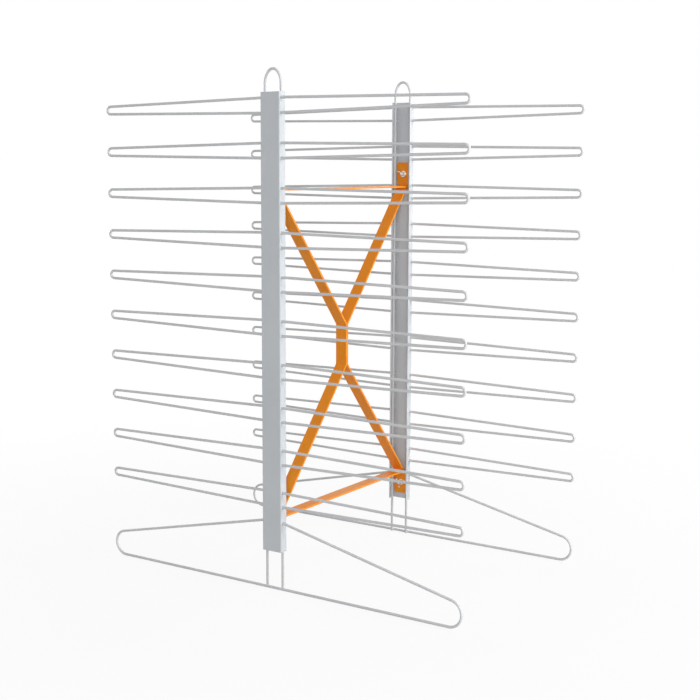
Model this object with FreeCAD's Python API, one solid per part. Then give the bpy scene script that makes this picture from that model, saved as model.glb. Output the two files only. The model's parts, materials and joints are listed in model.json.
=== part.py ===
# Free-standing wire drying rack: two identical side frames joined by a folded flat-bar brace.
#
# Millimetres. X runs along the arms, Y from the front frame to the rear frame and Z up. The origin is
# on the floor under the middle of the rack. Every piece of a side frame is worked out for the rear
# frame, and half a turn about the Z axis gives the front one.
import FreeCAD, Part
import math
import os

# Frame: arms at even levels on an upright channel, with a leg wire inside it and a foot wire below
frame_spacing = 592.0
level_count = 10
level_pitch = 101.6
lowest_level = 220.4
arm_wire = 6.35
arm_reach = 503.0
arm_root_gap = 34.4
arm_tip_radius = 9.2
foot_reach = 503.4
foot_end_radius = 30.9
foot_root_height = 166.7
leg_wire = 4.76
leg_floor_gap = 0.5
arch_rise = 30.7
arch_crown_inset = 5.2
arch_over_channel = 54.9

# Channel: folded sheet, its web facing outwards and its flanges punched for the wires
channel_width = 54.4
channel_depth = 21.5
channel_sheet = 1.2
channel_bend_radius = 1.5
channel_over_top_wire = 12.7
channel_under_plate = 16.0

# Brace: top and bottom bar with upturned or downturned end plates, and two bent straps back to back
bar_thickness = 4.8
bar_bend_radius = 3.0
bar_under_wire = 6.5
bar_over_foot = 1.3
brace_level = 3
plate_height = 66.0
plate_shoulder = 4.7
plate_taper = 12.0
plate_corner_radius = 4.0
strap_join_length = 104.0
strap_join_drop = 3.2
strap_knee_radius = 6.0
strap_end_inset = 10.0

# Fasteners: a weld stud inside the channel, a washer and a wing nut at each end plate
stud_diameter = 6.35
stud_length = 18.0
stud_chamfer = 0.6
stud_offset = 36.0
washer_diameter = 16.0
washer_thickness = 1.2
nut_base_diameter = 11.5
nut_crown_diameter = 9.5
nut_hub_height = 8.5
nut_height = 14.0
wing_span = 29.0
wing_thickness = 2.6
wing_tip_radius = 3.4
wing_root_height = 1.4
wing_notch = 1.0
nut_turns = {"front_top": 60.0, "rear_top": 143.0, "front_bottom": 25.0, "rear_bottom": 110.0}

# Clearances
weld_gap = 0.2
punched_hole_clearance = 0.3
leg_clearance = 0.4
wire_end_overrun = 0.5
web_clearance = 2.0
plate_clearance = 0.6
plate_hole_clearance = 0.4
washer_clearance = 0.2
thread_clearance = 0.08
nut_clearance = 0.3

# Two coordinates this close together are the same place
same_place = 0.001

# Depths, from the plane of the wires outwards to the web and inwards to the leg wire
wire_y = frame_spacing / 2
web_inner_y = wire_y + arm_wire / 2 + web_clearance
web_outer_y = web_inner_y + channel_sheet
flange_edge_y = web_outer_y - channel_depth
leg_y = wire_y - arm_wire / 2 - weld_gap - leg_wire / 2

# Widths, from the flange inwards
flange_inner_x = channel_width / 2 - channel_sheet
leg_x = flange_inner_x - leg_clearance - leg_wire / 2
wire_end_x = leg_x - leg_wire / 2 - wire_end_overrun
plate_width = 2 * (wire_end_x - plate_clearance)
bar_width = plate_width - 2 * plate_shoulder


def level_height(level):
    """Give the height of a level's centre line; level 1 is the top one."""
    return lowest_level + (level_count - level) * level_pitch


# Heights: a bar's face is its flat side away from its end plates, and the straps end on these faces
top_bar_face = level_height(brace_level) + arm_root_gap / 2 - bar_under_wire
bottom_bar_face = foot_root_height + arm_wire / 2 + bar_over_foot + bar_thickness
channel_top = level_height(1) + arm_root_gap / 2 + channel_over_top_wire
channel_bottom = bottom_bar_face - plate_height - channel_under_plate
arch_top = channel_top + arch_over_channel
strap_join_middle = (top_bar_face + bottom_bar_face) / 2 - strap_join_drop
nut_seat_y = web_inner_y - bar_thickness - washer_thickness - nut_clearance


def raised(shape, height):
    """Copy a shape a height further up."""
    copy = shape.copy()
    copy.translate(FreeCAD.Vector(0, 0, height))
    return copy


def half_turn(shape, y=0.0):
    """Copy a shape half a turn round the upright line at this y, in the middle plane."""
    copy = shape.copy()
    copy.rotate(FreeCAD.Vector(0, y, 0), FreeCAD.Vector(0, 0, 1), 180)
    return copy


def tangent_point(start, centre, radius, side):
    """Give the point where a line from start touches a circle in an XZ plane, above it or below it."""
    to_centre = centre - start
    heading = math.atan2(to_centre.z, to_centre.x)
    turn = heading + math.pi - side * math.acos(radius / to_centre.Length)
    return centre + FreeCAD.Vector(radius * math.cos(turn), 0, radius * math.sin(turn))


def line(start, end):
    """Make a straight edge."""
    return Part.LineSegment(start, end).toShape()


def arc(start, middle, end):
    """Make a round edge through three points."""
    return Part.Arc(start, middle, end).toShape()


def swept_wire(edges, diameter):
    """Carry a round wire's section along joined edges that start with a straight one."""
    start = edges[0].Vertexes[0].Point
    heading = edges[0].Vertexes[1].Point - start
    section = Part.Wire(Part.makeCircle(diameter / 2, start, heading))
    return Part.Wire(edges).makePipeShell([section], True, False)


def arm_run(side):
    """Give both ends of an arm's upper (1) or lower (-1) run, about its own centre line."""
    root = FreeCAD.Vector(wire_end_x, wire_y, side * arm_root_gap / 2)
    centre = FreeCAD.Vector(arm_reach - arm_tip_radius, wire_y, 0)
    return root, tangent_point(root, centre, arm_tip_radius, side)


def arm():
    """Make a right arm of the rear frame: a hairpin that tapers from its two roots to a round tip."""
    upper_root, upper_tip = arm_run(1)
    lower_root, lower_tip = arm_run(-1)
    tip = FreeCAD.Vector(arm_reach, wire_y, 0)
    edges = [line(upper_root, upper_tip), arc(upper_tip, tip, lower_tip), line(lower_tip, lower_root)]
    return swept_wire(edges, arm_wire)


def foot_run(side):
    """Give the ends of a foot's sloping run, the furthest point of its end bend and the bend's foot."""
    root = FreeCAD.Vector(side * wire_end_x, wire_y, foot_root_height)
    centre = FreeCAD.Vector(side * (foot_reach - foot_end_radius), wire_y, arm_wire / 2 + foot_end_radius)
    bend_start = tangent_point(root, centre, foot_end_radius, side)
    furthest = centre + FreeCAD.Vector(side * foot_end_radius, 0, 0)
    bend_foot = centre - FreeCAD.Vector(0, 0, foot_end_radius)
    return root, bend_start, furthest, bend_foot


def foot():
    """Make the rear frame's foot: one wire, flat along the floor and sloping up to the channel."""
    root, bend_start, furthest, bend_foot = foot_run(1)
    far_root, far_start, far_furthest, far_foot = foot_run(-1)
    edges = [
        line(root, bend_start),
        arc(bend_start, furthest, bend_foot),
        line(bend_foot, far_foot),
        arc(far_foot, far_furthest, far_start),
        line(far_start, far_root),
    ]
    return swept_wire(edges, arm_wire)


def leg():
    """Make the rear frame's leg wire: two straight legs under an arch of three tangent arcs."""
    crown_radius = leg_x - arch_crown_inset
    shoulder_radius = (leg_x ** 2 + arch_rise ** 2 - 2 * arch_rise * crown_radius) / (2 * arch_crown_inset)
    springing = arch_top - leg_wire / 2 - arch_rise
    crown_height = arch_rise - crown_radius
    turn = math.atan2(crown_height, shoulder_radius - leg_x)

    def leg_point(x, z):
        return FreeCAD.Vector(x, leg_y, z)

    def shoulder(side, angle):
        x = shoulder_radius * math.cos(angle) - (shoulder_radius - leg_x)
        return leg_point(side * x, springing + shoulder_radius * math.sin(angle))

    crown = leg_point(0, springing + arch_rise)
    edges = [
        line(leg_point(leg_x, leg_floor_gap), shoulder(1, 0)),
        arc(shoulder(1, 0), shoulder(1, turn / 2), shoulder(1, turn)),
        arc(shoulder(1, turn), crown, shoulder(-1, turn)),
        arc(shoulder(-1, turn), shoulder(-1, turn / 2), shoulder(-1, 0)),
        line(shoulder(-1, 0), leg_point(-leg_x, leg_floor_gap)),
    ]
    return swept_wire(edges, leg_wire)


def block(half_width, near_y, far_y, low_z, high_z):
    """Make a box that is centred on the middle plane."""
    corner = FreeCAD.Vector(-half_width, near_y, low_z)
    return Part.makeBox(2 * half_width, far_y - near_y, high_z - low_z, corner)


def edges_at(shape, **place):
    """Pick the edges whose middle lies at the given coordinates, such as y=0."""
    def matches(edge):
        middle = edge.BoundBox.Center
        return all(math.isclose(getattr(middle, axis), value, abs_tol=same_place)
                   for axis, value in place.items())

    return [edge for edge in shape.Edges if matches(edge)]


def punched_hole(root, end):
    """Make the tool that pierces a flange along a wire's run, wide enough to let the wire in."""
    reach = channel_width / 2
    return Part.makeCylinder(arm_wire / 2 + punched_hole_clearance, reach, root, end - root)


def channel():
    """Make the rear upright: a folded channel, open towards the rack and punched for every wire."""
    middle_z = (channel_bottom + channel_top) / 2
    outside = block(channel_width / 2, flange_edge_y, web_outer_y, channel_bottom, channel_top)
    outer_bends = edges_at(outside, y=web_outer_y, z=middle_z)
    outside = outside.makeFillet(channel_bend_radius + channel_sheet, outer_bends)

    mouth_y = flange_edge_y - channel_sheet
    inside = block(flange_inner_x, mouth_y, web_inner_y, channel_bottom, channel_top)
    inner_bends = edges_at(inside, y=web_inner_y, z=middle_z)
    inside = inside.makeFillet(channel_bend_radius, inner_bends)

    arm_holes = [punched_hole(*arm_run(side)) for side in (1, -1)]
    levels = [level_height(level) for level in range(1, level_count + 1)]
    right_holes = [raised(hole, height) for height in levels for hole in arm_holes]
    right_holes.append(punched_hole(*foot_run(1)[:2]))
    left_holes = [half_turn(hole, wire_y) for hole in right_holes]
    return outside.cut(inside).cut(right_holes + left_holes)


def bar():
    """Make a brace bar with its face at z 0: a flat bar folded up at both ends into wider plates."""
    middle_z = plate_height / 2
    folded = block(plate_width / 2, -web_inner_y, web_inner_y, 0, plate_height)
    hollow_y = web_inner_y - bar_thickness
    hollow = block(plate_width / 2, -hollow_y, hollow_y, bar_thickness, plate_height)
    outer_bends = [edge for y in (-web_inner_y, web_inner_y) for edge in edges_at(folded, y=y, z=0)]
    inner_bends = [edge for y in (-hollow_y, hollow_y) for edge in edges_at(hollow, y=y, z=bar_thickness)]
    folded = folded.makeFillet(bar_bend_radius + bar_thickness, outer_bends)
    folded = folded.cut(hollow.makeFillet(bar_bend_radius, inner_bends))

    bend_end = bar_bend_radius + bar_thickness
    sides = [
        (bar_width / 2, 0),
        (bar_width / 2, bend_end),
        (plate_width / 2, bend_end + plate_taper),
        (plate_width / 2, plate_height),
    ]
    outline = sides + [(-x, z) for x, z in reversed(sides)]
    corners = [FreeCAD.Vector(x, -web_inner_y, z) for x, z in outline + outline[:1]]
    blank = Part.Face(Part.makePolygon(corners)).extrude(FreeCAD.Vector(0, 2 * web_inner_y, 0))
    top_corners = [edge for x in (-plate_width / 2, plate_width / 2)
                   for edge in edges_at(blank, x=x, z=plate_height)]
    blank = blank.makeFillet(plate_corner_radius, top_corners)

    hole_radius = stud_diameter / 2 + plate_hole_clearance
    hole_start = FreeCAD.Vector(0, -web_inner_y, stud_offset)
    hole = Part.makeCylinder(hole_radius, 2 * web_inner_y, hole_start, FreeCAD.Vector(0, 1, 0))
    return folded.common(blank).cut(hole)


def strap_arm(knee, end):
    """Give a strap arm's corners in YZ: outer end, outer knee, inner knee and inner end.

    The arm leans from the knee by the angle at which its inner face just reaches the end's corner.
    """
    reach = web_inner_y - strap_end_inset
    rise = abs(end - knee)
    lean = math.acos(bar_thickness / math.hypot(reach, rise)) - math.atan2(rise, reach)
    inner_knee = knee - math.copysign(bar_thickness * math.tan(lean / 2), end - knee)
    outer_end = reach - bar_thickness / math.cos(lean)
    return (outer_end, end), (0, knee), (bar_thickness, inner_knee), (reach, end)


def strap():
    """Make the rear strap: upright against its twin, then leaning out to the top and bottom bar."""
    half_join = strap_join_length / 2
    outer_top, outer_top_knee, inner_top_knee, inner_top = strap_arm(
        strap_join_middle + half_join, top_bar_face)
    outer_bottom, outer_bottom_knee, inner_bottom_knee, inner_bottom = strap_arm(
        strap_join_middle - half_join, bottom_bar_face)
    outline = [outer_top, outer_top_knee, outer_bottom_knee, outer_bottom,
               inner_bottom, inner_bottom_knee, inner_top_knee, inner_top, outer_top]
    corners = [FreeCAD.Vector(-bar_width / 2, y, z) for y, z in outline]
    solid = Part.Face(Part.makePolygon(corners)).extrude(FreeCAD.Vector(bar_width, 0, 0))
    for y, z in (outer_top_knee, outer_bottom_knee):
        solid = solid.makeFillet(strap_knee_radius + bar_thickness, edges_at(solid, y=y, z=z))
    for y, z in (inner_top_knee, inner_bottom_knee):
        solid = solid.makeFillet(strap_knee_radius, edges_at(solid, y=y, z=z))
    return solid


def on_stud_axis(shape, stud_z, face_y):
    """Lay a piece that was made along +Z on a stud's axis, pointing from face_y into the rack."""
    copy = shape.copy()
    copy.rotate(FreeCAD.Vector(0, 0, 0), FreeCAD.Vector(1, 0, 0), 90)
    copy.translate(FreeCAD.Vector(0, face_y, stud_z))
    return copy


def stud():
    """Make a stud that is welded to the web, with a chamfered end."""
    rod = Part.makeCylinder(stud_diameter / 2, stud_length)
    return rod.makeChamfer(stud_chamfer, edges_at(rod, z=stud_length))


def washer():
    """Make a plain washer."""
    ring = Part.makeCylinder(washer_diameter / 2, washer_thickness)
    return ring.cut(Part.makeCylinder(stud_diameter / 2 + washer_clearance, washer_thickness))


def wing():
    """Make a wing nut's two wings: a plate that rises from the hub to a round tip on each side."""
    tip_centre = FreeCAD.Vector(wing_span / 2 - wing_tip_radius, 0, nut_height - wing_tip_radius)
    root = FreeCAD.Vector(0, 0, wing_root_height)
    notch = FreeCAD.Vector(0, 0, nut_hub_height - wing_notch)
    low = tangent_point(root, tip_centre, wing_tip_radius, -1)
    high = tangent_point(notch, tip_centre, wing_tip_radius, 1)
    diagonal = FreeCAD.Vector(wing_tip_radius, 0, wing_tip_radius) / math.sqrt(2)
    edges = [line(root, low), arc(low, tip_centre + diagonal, high), line(high, notch), line(notch, root)]
    plate = Part.Face(Part.Wire(edges)).extrude(FreeCAD.Vector(0, wing_thickness, 0))
    plate.translate(FreeCAD.Vector(0, -wing_thickness / 2, 0))
    return plate.fuse(half_turn(plate))


def wing_nut(turn):
    """Make a wing nut along +Z, its wings turned this many degrees from the X axis."""
    hub = Part.makeCone(nut_base_diameter / 2, nut_crown_diameter / 2, nut_hub_height)
    bore = Part.makeCylinder(stud_diameter / 2 + thread_clearance, nut_height)
    nut = hub.fuse(wing()).cut(bore)
    nut.rotate(FreeCAD.Vector(0, 0, 0), FreeCAD.Vector(0, 0, 1), turn)
    return nut


def save(name, shape):
    """Write one piece, or one group of like pieces, as its own file."""
    shape.exportStep(f"parts/{name}.step")


def save_frames():
    """Write the pieces of both side frames."""
    for name, piece in (("channel", channel()), ("leg_wire", leg()), ("foot_wire", foot())):
        save(f"rear_{name}", piece)
        save(f"front_{name}", half_turn(piece))
    level_arm = arm()
    for level in range(1, level_count + 1):
        right = raised(level_arm, level_height(level))
        left = half_turn(right, wire_y)
        save(f"rear_right_arm_{level:02d}", right)
        save(f"rear_left_arm_{level:02d}", left)
        save(f"front_left_arm_{level:02d}", half_turn(right))
        save(f"front_right_arm_{level:02d}", half_turn(left))


def save_brace():
    """Write the two bars and the two straps that hold the side frames apart."""
    upper_bar = bar()
    lower_bar = upper_bar.copy()
    lower_bar.rotate(FreeCAD.Vector(0, 0, 0), FreeCAD.Vector(0, 1, 0), 180)
    save("top_brace_bar", raised(upper_bar, top_bar_face))
    save("bottom_brace_bar", raised(lower_bar, bottom_bar_face))
    save("rear_brace_strap", strap())
    save("front_brace_strap", half_turn(strap()))


def save_fasteners():
    """Write the weld studs, their washers and the four wing nuts."""
    stud_heights = {"top": top_bar_face + stud_offset, "bottom": bottom_bar_face - stud_offset}
    studs = []
    washers = []
    for place, height in stud_heights.items():
        rear_stud = on_stud_axis(stud(), height, web_inner_y)
        rear_washer = on_stud_axis(washer(), height, web_inner_y - bar_thickness)
        studs += [rear_stud, half_turn(rear_stud)]
        washers += [rear_washer, half_turn(rear_washer)]
        rear_nut = on_stud_axis(wing_nut(nut_turns[f"rear_{place}"]), height, nut_seat_y)
        front_nut = on_stud_axis(wing_nut(nut_turns[f"front_{place}"]), height, nut_seat_y)
        save(f"rear_{place}_wing_nut", rear_nut)
        save(f"front_{place}_wing_nut", half_turn(front_nut))
    save("weld_studs", Part.makeCompound(studs))
    save("stud_washers", Part.makeCompound(washers))


os.makedirs("parts", exist_ok=True)
save_frames()
save_brace()
save_fasteners()
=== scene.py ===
# %% [markdown]
# # Dressing a wire drying rack
#
# The rack is forty hairpin arms on two folded channels, each with a leg wire inside it and a foot wire
# under it. An orange brace of flat bar holds the two side frames apart. The frame file brings every rigid
# piece at its true size and place. This lesson adds what makes it look real: powder coat over steel,
# thicker leg wires, weld beads, threads, rounded castings, soft light and a camera.

# %% Load the frame
import json
import math

import bmesh
import bpy
import numpy as np
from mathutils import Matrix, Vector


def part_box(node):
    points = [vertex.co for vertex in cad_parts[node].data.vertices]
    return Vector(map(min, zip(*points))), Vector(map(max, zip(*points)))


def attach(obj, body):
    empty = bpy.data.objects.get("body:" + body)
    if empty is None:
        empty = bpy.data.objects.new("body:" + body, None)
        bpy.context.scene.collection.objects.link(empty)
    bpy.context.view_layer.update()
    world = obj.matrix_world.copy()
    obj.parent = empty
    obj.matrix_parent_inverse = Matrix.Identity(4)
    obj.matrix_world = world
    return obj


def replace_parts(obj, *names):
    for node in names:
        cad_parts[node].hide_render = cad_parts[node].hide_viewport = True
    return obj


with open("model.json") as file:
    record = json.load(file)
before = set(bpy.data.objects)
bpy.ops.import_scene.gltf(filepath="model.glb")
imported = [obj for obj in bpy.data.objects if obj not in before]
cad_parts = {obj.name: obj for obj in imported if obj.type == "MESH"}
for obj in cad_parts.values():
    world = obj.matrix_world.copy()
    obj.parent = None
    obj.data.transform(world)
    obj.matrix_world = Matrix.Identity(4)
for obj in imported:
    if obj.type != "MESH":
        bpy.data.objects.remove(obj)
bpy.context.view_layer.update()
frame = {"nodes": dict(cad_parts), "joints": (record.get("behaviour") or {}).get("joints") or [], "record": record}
nodes = frame["nodes"]

# %% [markdown]
# ## Camera
#
# The rack is seen from the right of its front and from a little above its middle. A long lens keeps the
# arms of one frame nearly parallel. The camera could be turned until the rack stands where it should in
# the picture, but that would change the slope of every arm. A small sideways shift of the lens moves the
# picture and leaves the slopes alone.

# %% Place the camera
CAMERA_PLACE = (1.745, -2.677, 0.994)
CAMERA_YAW = 0.599
CAMERA_PITCH = -0.141
CAMERA_LENS = 65.95
CAMERA_SHIFT = 0.05
SENSOR_WIDTH = 36.0

camera_data = bpy.data.cameras.new("camera")
camera_data.lens = CAMERA_LENS
camera_data.sensor_width = SENSOR_WIDTH
camera_data.shift_x = CAMERA_SHIFT
camera = bpy.data.objects.new("camera", camera_data)
camera.location = CAMERA_PLACE
camera.rotation_euler = (math.pi / 2 + CAMERA_PITCH, 0.0, CAMERA_YAW)
bpy.context.scene.collection.objects.link(camera)
bpy.context.scene.camera = camera
print("camera:", CAMERA_PLACE, "lens:", CAMERA_LENS, "mm")

# %% [markdown]
# ## Surfaces from numbers
#
# Each new piece is a grid of points worked out in one go. Two directions run over the surface, u and v.
# Every grid here closes in v. A tube does no more, a ring closes in u as well, and the end of a bar shrinks
# its last row to a point. Blender's own cylinders and spheres could be bent into the same shapes, but a
# formula says exactly where each point lies.

# %% Helper: a mesh object from grids of points
SAME_POINT = 1e-7


def grid_faces(rows, columns, close_u):
    """List the quads of a grid. The last column joins the first, and so does the last row in a closed u."""
    index = np.arange(rows * columns).reshape(rows, columns)
    index = np.hstack([index, index[:, :1]])
    if close_u:
        index = np.vstack([index, index[:1]])
    quads = np.stack([index[:-1, :-1], index[1:, :-1], index[1:, 1:], index[:-1, 1:]], axis=-1)
    return quads.reshape(-1, 4)


def grids_object(name, grids, close_u=False):
    """Make one mesh object from grids of points, each an array of rows along u and columns along v.

    A quad joins each point to its neighbours and faces the side that u crossed with v points to. Rows
    that have shrunk to a point are merged, so that a pole is closed.
    """
    points = []
    quads = []
    start = 0
    for grid in grids:
        rows, columns = grid.shape[:2]
        points.append(grid.reshape(-1, 3))
        quads.append(grid_faces(rows, columns, close_u) + start)
        start += rows * columns
    mesh = bpy.data.meshes.new(name)
    mesh.from_pydata(np.concatenate(points).tolist(), [], np.concatenate(quads).tolist())
    work = bmesh.new()
    work.from_mesh(mesh)
    bmesh.ops.remove_doubles(work, verts=work.verts, dist=SAME_POINT)
    work.to_mesh(mesh)
    work.free()
    mesh.polygons.foreach_set("use_smooth", np.ones(len(mesh.polygons), dtype=bool))
    mesh.update()
    made = bpy.data.objects.new(name, mesh)
    bpy.context.scene.collection.objects.link(made)
    print(name, "faces:", len(mesh.polygons))
    return made


# %% Helper: turn a profile
def turned(radius, height, sides):
    """Turn a profile round the Z axis: x = r cos a, y = r sin a, z = h, for every a of a full turn.

    The surface faces outwards where the profile runs downwards.
    """
    angle = np.linspace(0.0, 2 * math.pi, sides, endpoint=False)[None, :]
    radius = np.asarray(radius, dtype=float)[:, None]
    height = np.asarray(height, dtype=float)[:, None]
    return np.stack([radius * np.cos(angle), radius * np.sin(angle), height + 0 * angle], axis=-1)


# %% [markdown]
# ## Paint as nodes
#
# A material is a small network. Its pattern starts from Object coordinates, so it sits still on the piece
# in metres: a noise of scale 700 has grains of about a millimetre and a half. These helpers each add one
# or two nodes, so that the recipe of a finish can be read from top to bottom.

# %% Helper: wire up a network of nodes
NOISE_MIDDLE = (0.35, 0.65)
MIX_COLOR_INPUTS = (6, 7)
MIX_COLOR_OUTPUT = 2


def new_material(name):
    """Give a new material, its node tree and its shader."""
    made = bpy.data.materials.new(name)
    made.use_nodes = True
    tree = made.node_tree
    return made, tree, tree.nodes["Principled BSDF"]


def object_place(tree):
    """Give the point on the piece in metres."""
    return tree.nodes.new("ShaderNodeTexCoord").outputs["Object"]


def noise(tree, place, scale, detail, roughness=0.5):
    """Give a soft random value between 0 and 1 at each place."""
    made = tree.nodes.new("ShaderNodeTexNoise")
    made.inputs["Scale"].default_value = scale
    made.inputs["Detail"].default_value = detail
    made.inputs["Roughness"].default_value = roughness
    tree.links.new(place, made.inputs["Vector"])
    return made.outputs["Fac"]


def spread(tree, value, low, high, to_low, to_high):
    """Stretch the values between low and high over another range, and hold them at its ends."""
    made = tree.nodes.new("ShaderNodeMapRange")
    for socket, number in (("From Min", low), ("From Max", high), ("To Min", to_low), ("To Max", to_high)):
        made.inputs[socket].default_value = number
    tree.links.new(value, made.inputs["Value"])
    return made.outputs["Result"]


def patches(tree, place, scale, detail, roughness=0.5):
    """Give patches from 0 to 1 with soft rims: the middle values of a noise, stretched to that range."""
    return spread(tree, noise(tree, place, scale, detail, roughness), *NOISE_MIDDLE, 0.0, 1.0)


def blend_colors(tree, amount, first, second):
    """Mix two colours, or a colour and another mix, by a value from 0 to 1.

    A Mix node gives its sockets for numbers, vectors and colours the same names. The colours' sockets
    are picked by their number.
    """
    made = tree.nodes.new("ShaderNodeMix")
    made.data_type = "RGBA"
    tree.links.new(amount, made.inputs["Factor"])
    for socket, color in zip(MIX_COLOR_INPUTS, (first, second)):
        if isinstance(color, tuple):
            made.inputs[socket].default_value = (*color, 1.0)
        else:
            tree.links.new(color, made.inputs[socket])
    return made.outputs[MIX_COLOR_OUTPUT]


def bump(tree, shader, height, distance, edge=0.0):
    """Let a value raise and lower the surface's shading by up to a distance in metres, over soft edges."""
    made = tree.nodes.new("ShaderNodeBump")
    made.inputs["Distance"].default_value = distance
    tree.links.new(height, made.inputs["Height"])
    tree.links.new(made.outputs["Normal"], shader.inputs["Normal"])
    if edge:
        soft = tree.nodes.new("ShaderNodeBevel")
        soft.inputs["Radius"].default_value = edge
        tree.links.new(soft.outputs["Normal"], made.inputs["Normal"])


# %% [markdown]
# ## Powder coat
#
# Powder coat is baked plastic. It never lies quite flat: it keeps a fine orange peel, here a noise of a
# millimetre or two, and faint darker specks lie in it. Its tone drifts a little over a hand's width, and
# its roughness drifts with it, so that a long bar isn't one flat colour. It rounds the sharp edges of bar
# and sheet. Peel and rounding are only tenths of a millimetre deep, so they are left to the shading and
# cost no faces.

# %% Mix the powder coats
PEEL_SCALE = 620.0
DRIFT_SCALE = 9.0
SMOOTHER = 0.04
ROUGHER = 0.05
SPECK_SCALE = 2600.0
SPECK_VALUES = (0.62, 0.78)
SPECK_SHARE = 0.35
SPECK_TONE = 0.86


def powder_coat(name, color, shade, roughness, peel, gloss, edge=0.0):
    """Make a powder coat that drifts between two close tones, with an orange peel of some depth in metres.

    The gloss is the shader's specular level, and the edge is the radius in metres of the rounded edges.
    """
    made, tree, shader = new_material(name)
    place = object_place(tree)
    drift = patches(tree, place, DRIFT_SCALE, detail=3.0)
    grain = noise(tree, place, SPECK_SCALE, detail=1.0)
    tone = blend_colors(tree, drift, color, shade)
    speck = spread(tree, grain, *SPECK_VALUES, 0.0, SPECK_SHARE)
    speck_color = tuple(SPECK_TONE * part for part in color)
    tree.links.new(blend_colors(tree, speck, tone, speck_color), shader.inputs["Base Color"])
    drifting_roughness = spread(tree, drift, 0.0, 1.0, roughness - SMOOTHER, roughness + ROUGHER)
    tree.links.new(drifting_roughness, shader.inputs["Roughness"])
    peel_height = noise(tree, place, PEEL_SCALE, detail=2.0, roughness=0.4)
    bump(tree, shader, peel_height, peel, edge)
    shader.inputs["Specular IOR Level"].default_value = gloss
    return made


white_coat = powder_coat(
    "white_powder_coat", color=(0.66, 0.67, 0.685), shade=(0.62, 0.632, 0.648),
    roughness=0.36, peel=0.00010, gloss=0.3)
channel_coat = powder_coat(
    "channel_powder_coat", color=(0.605, 0.633, 0.658), shade=(0.57, 0.602, 0.63),
    roughness=0.42, peel=0.00013, gloss=0.3, edge=0.0005)
orange_coat = powder_coat(
    "orange_powder_coat", color=(0.90, 0.305, 0.025), shade=(0.87, 0.28, 0.019),
    roughness=0.34, peel=0.00013, gloss=0.12, edge=0.0009)
print("powder coats:", white_coat.name, channel_coat.name, orange_coat.name)

# %% [markdown]
# ## Zinc plate
#
# The studs, washers and wing nuts are zinc plated. The plate is bright but a little cloudy, so the metal's
# roughness drifts in small patches, and a faint straw tint comes and goes with it. One noise drives both,
# so that the dull places are also the warmer ones.

# %% Plate the fasteners
ZINC_CLOUD_SCALE = 260.0
ZINC_BRIGHT = (0.80, 0.81, 0.83)
ZINC_STRAW = (0.74, 0.73, 0.69)
ZINC_ROUGHNESS = (0.22, 0.40)
ZINC_GRAIN_SCALE = 1500.0
ZINC_GRAIN_DEPTH = 0.00004

zinc_plate, zinc_tree, zinc_shader = new_material("zinc_plate")
zinc_shader.inputs["Metallic"].default_value = 1.0
zinc_place = object_place(zinc_tree)
cloud = patches(zinc_tree, zinc_place, ZINC_CLOUD_SCALE, detail=4.0, roughness=0.6)
zinc_color = blend_colors(zinc_tree, cloud, ZINC_BRIGHT, ZINC_STRAW)
zinc_tree.links.new(zinc_color, zinc_shader.inputs["Base Color"])
zinc_roughness = spread(zinc_tree, cloud, 0.0, 1.0, *ZINC_ROUGHNESS)
zinc_tree.links.new(zinc_roughness, zinc_shader.inputs["Roughness"])
zinc_grain = noise(zinc_tree, zinc_place, ZINC_GRAIN_SCALE, detail=3.0)
bump(zinc_tree, zinc_shader, zinc_grain, ZINC_GRAIN_DEPTH)
print("metal:", zinc_plate.name)

# %% Coat the frame's own pieces
finishes = {"white_wire": white_coat, "grey_channel": channel_coat, "orange_bar": orange_coat,
            "zinc_steel": zinc_plate}
slots = {entry["node"]: entry["material_slot"] for entry in frame["record"]["subparts"]}
for name, node in nodes.items():
    node.data.materials.clear()
    node.data.materials.append(finishes[slots[name]])
print("coated:", {slot: sum(1 for used in slots.values() if used == slot) for slot in finishes})


# %% Helper: finish and carry a new piece
def fit(piece, slot, body="rack_frame"):
    """Finish a piece with the coat of its slot and let it ride on a body."""
    piece.data.materials.append(finishes[slot])
    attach(piece, body)
    return piece


# %% [markdown]
# ## Leg wires
#
# One wire makes the two legs of a side frame and the arch that it is lifted by. It is bent from a straight
# length, and its arch is half an ellipse that stands on the legs. The frame's leg wires are a gauge thinner
# than the arms, but the real ones look as thick as the arms, so these two take their place. They keep the
# outer line, where it touches the arms and fits the channel. A curve with a round bevel could draw them
# too. Here a round section is carried along the line, because that also shapes the cut ends.

# %% Helper: measure a node
def low(node, axis):
    """Give a node's lowest coordinate along an axis: 0, 1 or 2 for X, Y or Z."""
    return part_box(node)[0][axis]


def high(node, axis):
    """Give a node's highest coordinate along an axis."""
    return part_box(node)[1][axis]


# %% Bend the leg wires
ARCH_RISE = 0.034
ARCH_POINTS = 49
LEG_END_CHAMFER = 0.0005
WIRE_SIDES = 24
wire = high("rear_right_arm_01", 1) - low("rear_right_arm_01", 1)
leg_x = high("rear_leg_wire", 0) - wire / 2
leg_y = high("rear_leg_wire", 1) - wire / 2
leg_end = low("rear_leg_wire", 2)
springing = high("rear_leg_wire", 2) - wire / 2 - ARCH_RISE
print("wire:", round(wire, 5), "m thick, arch from", round(springing, 4), "m up")


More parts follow.
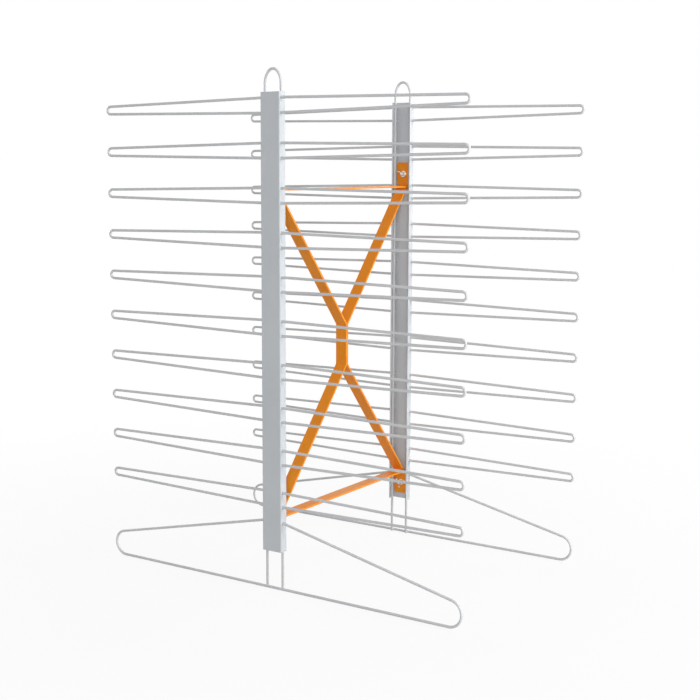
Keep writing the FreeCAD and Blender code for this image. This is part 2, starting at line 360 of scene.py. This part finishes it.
def bent_leg_wire(facing):
    """Carry a round section up a leg, over the arch and down the other leg.

    The arch's line is (a cos t, b sin t) for t over half a turn, and a ring of it is r (n cos v + y sin v),
    where n is square to the line in its own plane. The cut ends have a small chamfer.
    """
    t = np.linspace(0.0, math.pi, ARCH_POINTS)[:, None]
    arch = np.hstack([leg_x * np.cos(t), 0 * t, springing + ARCH_RISE * np.sin(t)])
    heading = np.hstack([-leg_x * np.sin(t), 0 * t, ARCH_RISE * np.cos(t)])
    leg_heights = leg_end + np.array([0.0, 0.0, LEG_END_CHAMFER])
    leg = np.stack([leg_x + 0 * leg_heights, 0 * leg_heights, leg_heights], axis=1)
    line = np.concatenate([leg, arch, leg[::-1] * (-1, 1, 1)])
    heading = np.concatenate([heading[:1]] * len(leg) + [heading] + [heading[-1:]] * len(leg))
    heading /= np.linalg.norm(heading, axis=1, keepdims=True)
    across = np.stack([-heading[:, 2], 0 * heading[:, 0], heading[:, 0]], axis=1)
    radius = np.full(len(line), wire / 2)
    radius[[0, 1, -2, -1]] = (0.0, wire / 2 - LEG_END_CHAMFER, wire / 2 - LEG_END_CHAMFER, 0.0)
    v = np.linspace(0.0, 2 * math.pi, WIRE_SIDES, endpoint=False)[None, :, None]
    ring = across[:, None, :] * np.cos(v) + np.array([0.0, 1.0, 0.0]) * np.sin(v)
    return line[:, None, :] + (0.0, facing * leg_y, 0.0) + radius[:, None, None] * ring


for side_frame, facing in (("front", -1), ("rear", 1)):
    leg_piece = grids_object(f"{side_frame}_bent_leg_wire", [bent_leg_wire(facing)])
    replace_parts(fit(leg_piece, "white_wire"), f"{side_frame}_leg_wire")

# %% [markdown]
# ## Crossed-wire welds
#
# Where an arm crosses the leg wire, the two are pressed together and welded by a current. The metal melts
# at the touching point and squeezes out as a small flat collar. Each collar is a ball flattened along Y.
# No two are quite alike, so each radius gets a little chance of its own. None reaches below the floor. The
# crossings are measured on the frame's wires, so the collars follow them.

# %% Find the crossings
# A foot wire slopes down from its ends in the channel, so it is 0.7 mm lower where it crosses the leg.
LEVELS = 10
FOOT_SLOPE_DROP = 0.0007
touch_y = (low("rear_right_arm_01", 1) + leg_y + wire / 2) / 2

run_heights = []
for level in range(1, LEVELS + 1):
    arm = f"rear_right_arm_{level:02d}"
    run_heights += [high(arm, 2) - wire / 2, low(arm, 2) + wire / 2]
run_heights += [high("rear_foot_wire", 2) - wire / 2 - FOOT_SLOPE_DROP, wire / 2]
print("crossings on each frame:", 2 * len(run_heights))

# %% Squeeze out the collars
# The radii lie along X, Y and Z.
COLLAR_RADII = np.array([0.0034, 0.0024, 0.0041])
COLLAR_CHANCE = 0.14
COLLAR_ROWS = 9
COLLAR_SIDES = 14
COLLAR_SEED = 7
chance = np.random.default_rng(COLLAR_SEED)


def ball(centre, radii):
    """Make an ellipsoid with its poles along Y: (a sin u cos v, b cos u, -c sin u sin v) about a centre."""
    u = np.linspace(0.0, math.pi, COLLAR_ROWS)[:, None]
    v = np.linspace(0.0, 2 * math.pi, COLLAR_SIDES, endpoint=False)[None, :]
    shape = np.stack([np.sin(u) * np.cos(v), np.cos(u) + 0 * v, -np.sin(u) * np.sin(v)], axis=-1)
    return np.array(centre) + shape * radii


for side_frame, facing in (("front", -1), ("rear", 1)):
    collars = []
    for height in run_heights:
        for side in (-1, 1):
            radii = COLLAR_RADII * (1 + COLLAR_CHANCE * chance.uniform(-1, 1, 3))
            radii[2] = min(radii[2], height)
            collars.append(ball((side * leg_x, facing * touch_y, height), radii))
    fit(grids_object(f"{side_frame}_wire_welds", collars), "white_wire")

# %% [markdown]
# ## Fillet welds of the brace
#
# The straps are joined back to back, and their ends sit on the bars. Short beads of weld hold them. A bead
# is a round bar carried along the seam. The arc steps along it, so its surface is a row of overlapping
# scales: the radius rises slowly and drops sharply once for each step. A bump could paint the scales, but
# a bead stands out against the light, so its outline has to be a real one.

# %% Helper: a bead along a seam
SCALE_STEP = 0.0016
SCALE_RISE = 0.12
SCALE_LAG = 0.0004
END_RUN = 1.2
BEAD_ROW_GAP = 0.0002
BEAD_SIDES = 18


def bead(start, end, radius, up):
    """Carry a round section along a straight seam and close both ends like the end of an ellipsoid.

    At a length t along the seam and an angle v from the upward side, the radius is r (1 + 0.12 w), where w
    is a saw wave of t plus a lag times cos v, with one tooth for each step. Over the last 1.2 r at each end
    it falls to nothing along a quarter ellipse.
    """
    start = np.array(start)
    end = np.array(end)
    length = np.linalg.norm(end - start)
    along = (end - start) / length
    first = np.array(up) / np.linalg.norm(up)
    second = np.cross(first, along)
    t = np.linspace(0.0, length, int(length / BEAD_ROW_GAP) + 1)
    v = np.linspace(0.0, 2 * math.pi, BEAD_SIDES, endpoint=False)
    lag = SCALE_LAG * np.cos(v)[None, :]
    tooth = np.mod((t[:, None] + lag) / SCALE_STEP, 1.0)
    from_end = np.clip(np.minimum(t, length - t) / (END_RUN * radius), 0.0, 1.0)
    size = radius * np.sqrt(1 - (1 - from_end) ** 2)[:, None] * (1 + SCALE_RISE * tooth)
    ring = np.cos(v)[None, :, None] * first + np.sin(v)[None, :, None] * second
    return start + t[:, None, None] * along + size[:, :, None] * ring


# %% Lay the beads
# The straps touch for 52 mm up and down from a point that lies 3.2 mm under their middle. Two stitches of
# weld on each side hold them there. The cut end of a strap covers 6.3 mm of a bar, with a bead on each
# side of it.
STRAP_JOIN_DROP = 0.0032
STRAP_JOIN_HALF = 0.052
STRAP_END_CUT = 0.0063
STITCH = 0.018
STITCH_INSET = 0.004
STITCH_RADIUS = 0.0016
END_BEAD_RADIUS = 0.0019
END_BEAD_INSET = 0.001
strap_half_width = high("rear_brace_strap", 0)
strap_end_y = high("rear_brace_strap", 1)
strap_faces = (high("rear_brace_strap", 2), low("rear_brace_strap", 2))
join_middle = sum(strap_faces) / 2 - STRAP_JOIN_DROP

beads = []
stitch_run = (STRAP_JOIN_HALF - STITCH_INSET - STITCH, STRAP_JOIN_HALF - STITCH_INSET)
for side in (-1, 1):
    x = side * strap_half_width
    for way in (-1, 1):
        near, far = (join_middle + way * run for run in stitch_run)
        beads.append(bead((x, 0, near), (x, 0, far), STITCH_RADIUS, (side, 0, 0)))
reach = strap_half_width - END_BEAD_INSET
for facing in (-1, 1):
    for face in strap_faces:
        for y in (strap_end_y, strap_end_y - STRAP_END_CUT):
            left_end = (-reach, facing * y, face)
            right_end = (reach, facing * y, face)
            beads.append(bead(left_end, right_end, END_BEAD_RADIUS, (0, -facing, 0)))
fit(grids_object("brace_weld_beads", beads), "orange_bar")

# %% [markdown]
# ## Threads
#
# A thread is a groove that climbs one pitch for each turn. So the stud's radius depends on its length and
# its angle together: the groove's depth is a triangle wave of the length over the pitch plus the share of
# a turn. The frame's studs are plain rods, and these take their place. A stud's end shows in outline
# beyond its nut, which is why its thread is cut into the mesh.

# %% Cut the threads
STUD_LENGTH = 0.018
STUD_CHAMFER = 0.0006
STUD_SIDES = 40
PITCH = 0.00127
ROWS_PER_PITCH = 12
THREAD_DEPTH = 0.00062
WAVE_SLOPE = 2.5
WAVE_SINK = 0.1
stud_radius = high("weld_studs", 0)
stud_base_y = high("weld_studs", 1)
joints = {joint["child"]: joint for joint in frame["joints"]}


def facing_of(joint):
    """Give 1 for a joint on the rear frame and -1 for one on the front frame."""
    return 1 if joint["pos_m"][1] > 0 else -1


def threaded_stud(height, facing):
    """Make one stud along Y, from its base on the web to its chamfered end.

    For the length s from the base and the angle v, f is the fraction of s / pitch + v / full turn. The wave
    is 2.5 |f - 1/2| - 0.1, held between 0 and 1, which leaves a flat at root and crest. The radius is
    r - depth (1 - wave).
    """
    s = np.linspace(0.0, STUD_LENGTH, int(STUD_LENGTH / PITCH * ROWS_PER_PITCH))
    v = np.linspace(0.0, 2 * math.pi, STUD_SIDES, endpoint=False)
    fraction = np.mod(s[:, None] / PITCH + v[None, :] / (2 * math.pi), 1.0)
    wave = np.clip(WAVE_SLOPE * np.abs(fraction - 0.5) - WAVE_SINK, 0.0, 1.0)
    radius = stud_radius - THREAD_DEPTH * (1 - wave)
    chamfered = stud_radius - STUD_CHAMFER + (STUD_LENGTH - s)[:, None]
    radius = np.minimum(radius, chamfered)
    radius = np.vstack([0 * radius[:1], radius, 0 * radius[:1]])
    s = np.concatenate([s[:1], s, s[-1:]])[:, None]
    turn = -facing * v[None, :]
    y = facing * (stud_base_y - s) + 0 * turn
    return np.stack([radius * np.cos(turn), y, height + radius * np.sin(turn)], axis=-1)


studs = [threaded_stud(joint["pos_m"][2], facing_of(joint)) for joint in joints.values()]
threads = fit(grids_object("threaded_studs", studs), "zinc_steel")
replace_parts(threads, "weld_studs")

# %% [markdown]
# ## Wing nuts
#
# A wing nut is a casting: a tapered hub with two ears, and every inner corner is a soft fillet. The hub is
# turned from a ring-shaped profile and each ear is a flat oval section carried up to a round tip. The
# three overlap. Booleans and bevels could join them, but would need care at every corner. A voxel remesh
# joins them into one skin, and a few rounds of smoothing leave the fillets that the mould would.

# %% Helper: shape an ear
EAR_ROOT = np.array([4.2, 0.0, 4.6])
EAR_TIP = np.array([11.1, 0.0, 10.6])
EAR_END = 3.4
EAR_HALF_WIDTH = 2.9
EAR_FLARE = 0.5
EAR_HALF_THICKNESS = 1.55
EAR_THINNING = 0.35
EAR_SIDES = 36
EAR_ROWS = 24
EAR_END_ROWS = 14
EAR_END_START = 0.1
OVAL_POWER = 0.7


def ear():
    """Make an ear, in millimetres: an oval section carried from the hub to a round tip.

    The half width grows slowly towards the tip's centre and then falls along a circle. The half thickness
    thins towards the tip. The section is a superellipse, so that the faces are flat and the rims round.
    """
    reach = np.linalg.norm(EAR_TIP - EAR_ROOT)
    along = (EAR_TIP - EAR_ROOT) / reach
    across = np.array([-along[2], 0.0, along[0]])
    end_angles = np.linspace(EAR_END_START, math.pi / 2, EAR_END_ROWS)
    s = np.concatenate([np.linspace(0.0, reach, EAR_ROWS), reach + EAR_END * np.sin(end_angles)])
    past = np.clip((s - reach) / EAR_END, 0.0, 1.0)
    share = np.clip(s / reach, 0.0, 1.0)
    width = (EAR_HALF_WIDTH + EAR_FLARE * share ** 2) * np.sqrt(1 - past ** 2)
    thickness = (EAR_HALF_THICKNESS - EAR_THINNING * share) * np.sqrt(1 - past ** 4)
    v = np.linspace(0.0, 2 * math.pi, EAR_SIDES, endpoint=False)
    flat = np.sign(np.cos(v)) * np.abs(np.cos(v)) ** OVAL_POWER
    thick = np.sign(np.sin(v)) * np.abs(np.sin(v)) ** OVAL_POWER
    side = np.array([0.0, 1.0, 0.0])
    centre = EAR_ROOT + s[:, None] * along
    grid = (centre[:, None, :] + (width[:, None] * flat)[:, :, None] * across
            - (thickness[:, None] * thick)[:, :, None] * side)
    root_cap = np.repeat(grid[:1].mean(axis=1, keepdims=True), EAR_SIDES, axis=1)
    return np.concatenate([root_cap, grid])


# %% Helper: cast a nut
# The profile gives radii and heights in millimetres, down the outside of the hub and up its bore.
NUT_BORE = 3.3
HUB_PROFILE = [(3.7, 8.5), (4.35, 8.5), (4.7, 8.15), (5.2, 4.3), (5.7, 0.35), (5.35, 0.0), (3.7, 0.0),
               (NUT_BORE, 0.4), (NUT_BORE, 8.1)]
HUB_SIDES = 72
VOXEL = 0.26
FILLET_STRENGTH = 0.6
FILLET_ROUNDS = 5


def cast(name):
    """Join a hub and two ears and smooth them. The casting is made upright, in millimetres."""
    right = ear()
    left = right * np.array([-1.0, -1.0, 1.0])
    hub_radius, hub_height = np.array(HUB_PROFILE).T
    casting = grids_object(name, [right, left])
    hub = grids_object(name + "_hub", [turned(hub_radius, hub_height, HUB_SIDES)], close_u=True)
    work = bmesh.new()
    work.from_mesh(casting.data)
    work.from_mesh(hub.data)
    work.to_mesh(casting.data)
    work.free()
    bpy.data.objects.remove(hub)

    remesh = casting.modifiers.new("skin", "REMESH")
    remesh.mode = "VOXEL"
    remesh.voxel_size = VOXEL
    smooth = casting.modifiers.new("fillets", "SMOOTH")
    smooth.factor = FILLET_STRENGTH
    smooth.iterations = FILLET_ROUNDS
    bpy.context.view_layer.update()
    skin = bpy.data.meshes.new_from_object(casting.evaluated_get(bpy.context.evaluated_depsgraph_get()))
    casting.modifiers.clear()
    casting.data = skin
    return casting


# %% Helper: seat a nut
MM = 0.001


def rest_turn(node, height):
    """Measure how far a nut's ears are turned from X: in XZ, its points spread most along them."""
    points = np.empty(3 * len(node.data.vertices))
    node.data.vertices.foreach_get("co", points)
    points = points.reshape(-1, 3)[:, [0, 2]] - (0.0, height)
    directions = np.linalg.eigh(points.T @ points)[1]
    return math.atan2(directions[1, -1], directions[0, -1])


def seat(casting, name, joint):
    """Seat a casting on its stud, at the turn that the frame's nut rests at.

    A point (x, y, z) of the casting goes to seat + x e + y f + z n, where n points into the rack, e lies
    along the ears and f is n crossed with e.
    """
    facing = facing_of(joint)
    height = joint["pos_m"][2]
    turn = rest_turn(nodes[name], height)
    inward = np.array([0.0, -facing, 0.0])
    ears = np.array([math.cos(turn), 0.0, math.sin(turn)])
    upright = np.array([ears, np.cross(inward, ears), inward])
    seat_y = high(name, 1) if facing > 0 else low(name, 1)
    skin = casting.data
    points = np.empty(3 * len(skin.vertices))
    skin.vertices.foreach_get("co", points)
    points = MM * points.reshape(-1, 3) @ upright + (0.0, seat_y, height)
    skin.vertices.foreach_set("co", points.reshape(-1))
    skin.polygons.foreach_set("use_smooth", np.ones(len(skin.polygons), dtype=bool))
    skin.update()
    print(name, "faces:", len(skin.polygons), "turn:", round(math.degrees(turn)))


# %% Cast the nuts
for name, joint in joints.items():
    nut = cast(name)
    seat(nut, name, joint)
    nut.name = name.replace("wing_nut", "cast_nut")
    fit(nut, "zinc_steel", name)
    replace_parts(nut, name)

# %% [markdown]
# ## Floor and surround
#
# The floor is a wide disc in a white world. To the camera it is almost pure white, yet it still takes the
# soft shade under the wires, because a share of what the camera sees is its true lit surface. That share
# fades out away from the rack, so that no edge shows behind it. To the light that bounces, the floor is a
# mid grey, which leaves the undersides of the wires a little darker than their tops. A white floor under
# strong lamps would look the same, but would wash out the rack as well.

# %% Helper: tell what the camera sees
def joined(tree, operation, first, second):
    """Join two values by an operation, such as MULTIPLY."""
    made = tree.nodes.new("ShaderNodeMath")
    made.operation = operation
    tree.links.new(first, made.inputs[0])
    tree.links.new(second, made.inputs[1])
    return made.outputs[0]


def seen_directly(tree):
    """Give 1 to rays that come from the camera, straight or by way of gloss or glass, and 0 to others."""
    path = tree.nodes.new("ShaderNodeLightPath")
    value = path.outputs["Is Camera Ray"]
    for kind in ("Is Glossy Ray", "Is Transmission Ray"):
        value = joined(tree, "MAXIMUM", value, path.outputs[kind])
    return value


# %% Lay the floor
FLOOR_RADII = [0.0, 0.4, 0.8, 1.6, 3.2, 8.0, 20.0]
FLOOR_SIDES = 96
FLOOR_GREY = (0.55, 0.55, 0.55)
FLOOR_WHITE = (0.95, 0.95, 0.95)
FLOOR_ROUGHNESS = 0.8
SHADE_SHARE = 0.14
SHADE_RADIUS = 0.7
WHITE_RADIUS = 2.0

floor = grids_object("studio_floor", [turned(FLOOR_RADII, np.zeros(len(FLOOR_RADII)), FLOOR_SIDES)])
floor_paint, floor_tree, floor_shader = new_material("studio_floor")
floor.data.materials.append(floor_paint)
seen = seen_directly(floor_tree)
floor_color = blend_colors(floor_tree, seen, FLOOR_GREY, FLOOR_WHITE)
floor_tree.links.new(floor_color, floor_shader.inputs["Base Color"])
floor_shader.inputs["Roughness"].default_value = FLOOR_ROUGHNESS
distance = floor_tree.nodes.new("ShaderNodeVectorMath")
distance.operation = "LENGTH"
floor_tree.links.new(object_place(floor_tree), distance.inputs[0])
from_middle = distance.outputs["Value"]
white_share = spread(floor_tree, from_middle, SHADE_RADIUS, WHITE_RADIUS, 1 - SHADE_SHARE, 1.0)
glow_share = joined(floor_tree, "MULTIPLY", seen, white_share)
glow = floor_tree.nodes.new("ShaderNodeEmission")
mixed = floor_tree.nodes.new("ShaderNodeMixShader")
floor_tree.links.new(glow_share, mixed.inputs["Fac"])
floor_tree.links.new(floor_shader.outputs["BSDF"], mixed.inputs[1])
floor_tree.links.new(glow.outputs["Emission"], mixed.inputs[2])
floor_tree.links.new(mixed.outputs["Shader"], floor_tree.nodes["Material Output"].inputs["Surface"])
print("floor:", FLOOR_RADII[-1], "m to its rim, shade within", WHITE_RADIUS, "m")

# %% [markdown]
# ## Light
#
# Four soft square lamps stand round the rack under a dim white sky. The largest, the key, is on the right,
# so the faces that look right are the brightest. The front lamp fills the webs that look to the front, and
# the back and left lamps are weak ones that keep the far sides out of the dark. Large lamps, rather than
# small strong ones, leave no hard shadow of one wire on another. The camera sees no lamp, and sees the sky
# as plain white.

# %% Light the studio
SKY = 0.28
WHITE = (1.0, 1.0, 1.0, 1.0)
RACK_MIDDLE = (0.0, 0.0, 0.6)
LAMPS = [
    {"name": "key", "place": (6.4, 0.3, 2.4), "size": 3.4, "power": 320.0},
    {"name": "front", "place": (4.2, -6.6, 2.0), "size": 2.4, "power": 230.0},
    {"name": "back", "place": (1.0, 4.0, 1.5), "size": 1.6, "power": 60.0},
    {"name": "left", "place": (-3.9, 0.6, 1.7), "size": 1.6, "power": 38.0},
]

world = bpy.data.worlds.new("studio")
world.use_nodes = True
sky = world.node_tree.nodes["Background"]
sky.inputs["Color"].default_value = WHITE
sky_strength = spread(world.node_tree, seen_directly(world.node_tree), 0.0, 1.0, SKY, 1.0)
world.node_tree.links.new(sky_strength, sky.inputs["Strength"])
bpy.context.scene.world = world
bpy.context.scene.view_settings.view_transform = "Standard"


def soft_lamp(name, place, size, power):
    """Hang a square lamp, its size in metres and its power in watts, and point it at the rack's middle."""
    data = bpy.data.lights.new(name, "AREA")
    data.shape = "SQUARE"
    data.size = size
    data.energy = power
    lamp = bpy.data.objects.new(name, data)
    lamp.location = place
    direction = np.array(RACK_MIDDLE) - np.array(place)
    yaw = math.atan2(-direction[0], direction[1])
    pitch = math.atan2(direction[2], math.hypot(direction[0], direction[1]))
    lamp.rotation_euler = (math.pi / 2 + pitch, 0.0, yaw)
    lamp.visible_camera = False
    bpy.context.scene.collection.objects.link(lamp)


for row in LAMPS:
    soft_lamp(**row)
print("sky:", SKY, "lamps:", [row["name"] for row in LAMPS])
